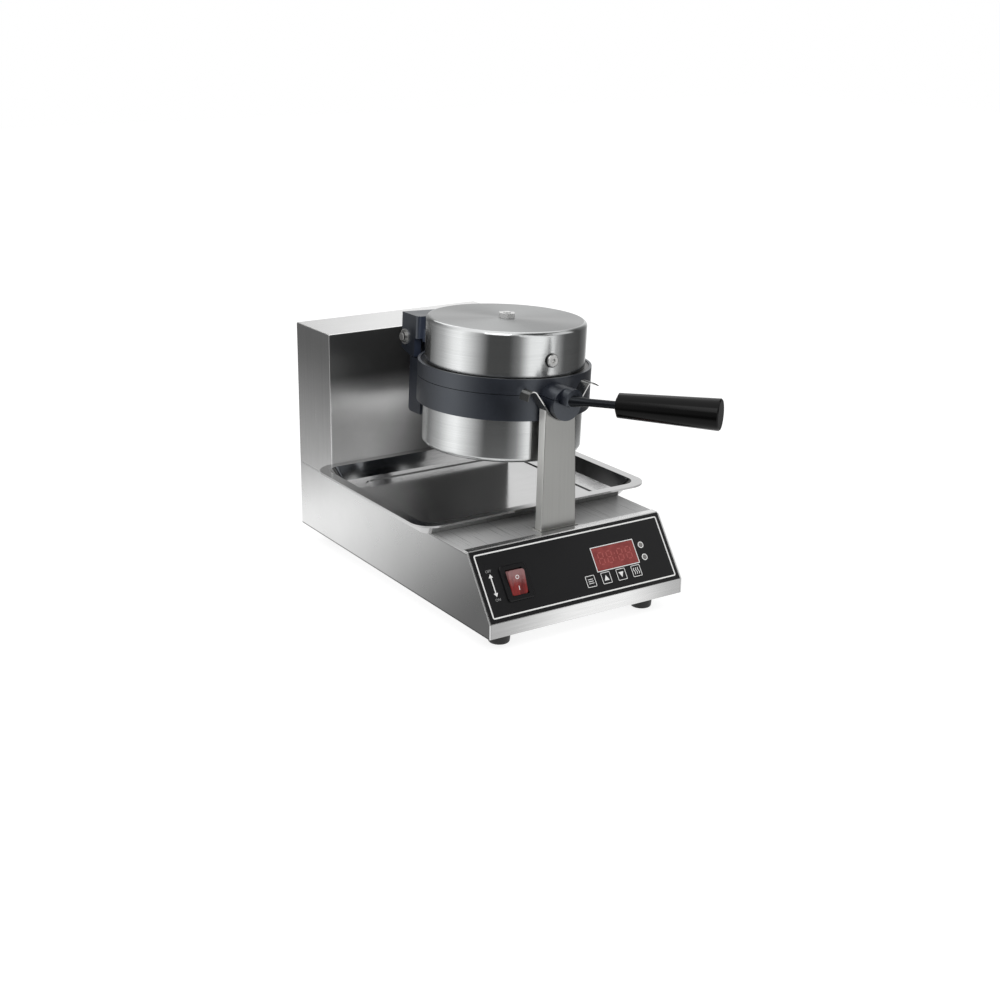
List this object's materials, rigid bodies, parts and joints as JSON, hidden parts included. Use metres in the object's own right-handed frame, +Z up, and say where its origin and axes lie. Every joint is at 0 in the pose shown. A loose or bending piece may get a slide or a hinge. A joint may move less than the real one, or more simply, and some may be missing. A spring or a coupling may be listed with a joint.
{
  "type": "bubble waffle maker",
  "caption": "Countertop bubble waffle maker: round hinged iron with long handle that turns over on a post and a rear tower, above a drip tray and a sloped control panel.",
  "frame": {"origin": "middle of the whole object's footprint, on the table", "axes": "+Z up, -Y towards the operator, +X to the operator's right"},
  "size_m": [0.301, 0.5352, 0.3158],
  "materials": {
    "brushed_stainless": "satin brushed sheet",
    "plain_stainless": "plain sheet",
    "tray_stainless": "bright pressed sheet",
    "drum_stainless": "satin spun sheet",
    "coated_casting": "dark slate coating on cast aluminium",
    "nonstick_plate": "black non-stick coating on cast aluminium",
    "black_grip": "gloss moulded",
    "black_rubber": "matt",
    "panel_black": "semi-gloss film",
    "window_red": "clear red lens",
    "module_black": "matt",
    "switch_black": "semi-gloss",
    "terminal_white": "matt",
    "rocker_red": "translucent",
    "key_black": "semi-gloss film",
    "light_lens": "clear lens",
    "board_green": "solder mask",
    "relay_blue": "moulded",
    "transformer_core": "varnished laminations",
    "gland_nylon": "matt",
    "bush_bronze": "machined",
    "machined_steel": "machined",
    "heater_sheath": "oxidised tube",
    "mineral_fibre": "matt fibre board",
    "fastener_steel": "bright zinc"
  },
  "bodies": {
    "base": {"base_cover": "brushed_stainless", "front_panel": "brushed_stainless", "bottom_plate": "plain_stainless", "base_back": "brushed_stainless", "tower_shell": "brushed_stainless", "tower_back": "brushed_stainless", "rear_screws": "fastener_steel", "bottom_screws": "fastener_steel", "feet": "black_rubber", "foot_screws": "fastener_steel", "control_overlay": "panel_black", "display_window": "window_red", "display_module": "module_black", "control_board": "board_green", "board_spacers": "fastener_steel", "tact_switches": "fastener_steel", "timer_light": "light_lens", "heat_light": "light_lens", "switch_housing": "switch_black", "post": "brushed_stainless", "post_foot": "brushed_stainless", "post_bolts": "fastener_steel", "iron_cradle": "brushed_stainless", "bearing_housing": "machined_steel", "bearing_bush": "bush_bronze", "bearing_screws": "fastener_steel", "turn_stops": "machined_steel", "transformer": "transformer_core", "power_relay": "relay_blue", "terminal_block": "terminal_white", "cord_gland": "gland_nylon"},
    "iron": {"lower_ring": "coated_casting", "lower_bubble_plate": "nonstick_plate", "lower_plate_screws": "fastener_steel", "lower_drum": "drum_stainless", "lower_heater": "heater_sheath", "lower_insulation": "mineral_fibre", "lower_centre_bolt": "fastener_steel", "lower_side_screw": "fastener_steel", "rear_shaft": "machined_steel", "shaft_collar": "machined_steel"},
    "lid": {"upper_ring": "coated_casting", "upper_bubble_plate": "nonstick_plate", "upper_plate_screws": "fastener_steel", "upper_drum": "drum_stainless", "upper_heater": "heater_sheath", "upper_insulation": "mineral_fibre", "upper_centre_bolt": "fastener_steel", "upper_side_screw": "fastener_steel", "handle_rod": "coated_casting", "handle_grip": "black_grip", "hinge_pin": "fastener_steel", "hinge_washers": "fastener_steel"},
    "tray": {"drip_tray": "tray_stainless"},
    "rocker": {"power_rocker": "rocker_red"},
    "set_button": {"set_key": "key_black"},
    "up_button": {"up_key": "key_black"},
    "down_button": {"down_key": "key_black"},
    "heat_button": {"heat_key": "key_black"}
  },
  "joints": [
    {"name": "iron_turn", "type": "hinge", "parent": "base", "child": "iron", "pos_m": [0, -0.00538, 0.239], "axis": [0, 1, 0], "range_deg": [-180, 0]},
    {"name": "lid_hinge", "type": "hinge", "parent": "iron", "child": "lid", "pos_m": [0.0012, 0.13532, 0.26487], "axis": [-0.9989, 0, 0.0464], "range_deg": [0, 100]},
    {"name": "tray_slide", "type": "slide", "parent": "base", "child": "tray", "axis": [1, 0, 0], "range_m": [-0.3, 0.3]},
    {"name": "power_switch", "type": "hinge", "parent": "base", "child": "rocker", "pos_m": [-0.079, -0.15142, 0.06563], "axis": [1, 0, 0], "range_deg": [-26, 0]},
    {"name": "set_key_press", "type": "slide", "parent": "base", "child": "set_button", "axis": [0, 0.822, -0.5695], "range_m": [0, 0.0005], "stiffness_N_per_m": 800},
    {"name": "up_key_press", "type": "slide", "parent": "base", "child": "up_button", "axis": [0, 0.822, -0.5695], "range_m": [0, 0.0005], "stiffness_N_per_m": 800},
    {"name": "down_key_press", "type": "slide", "parent": "base", "child": "down_button", "axis": [0, 0.822, -0.5695], "range_m": [0, 0.0005], "stiffness_N_per_m": 800},
    {"name": "heat_key_press", "type": "slide", "parent": "base", "child": "heat_button", "axis": [0, 0.822, -0.5695], "range_m": [0, 0.0005], "stiffness_N_per_m": 800}
  ]
}
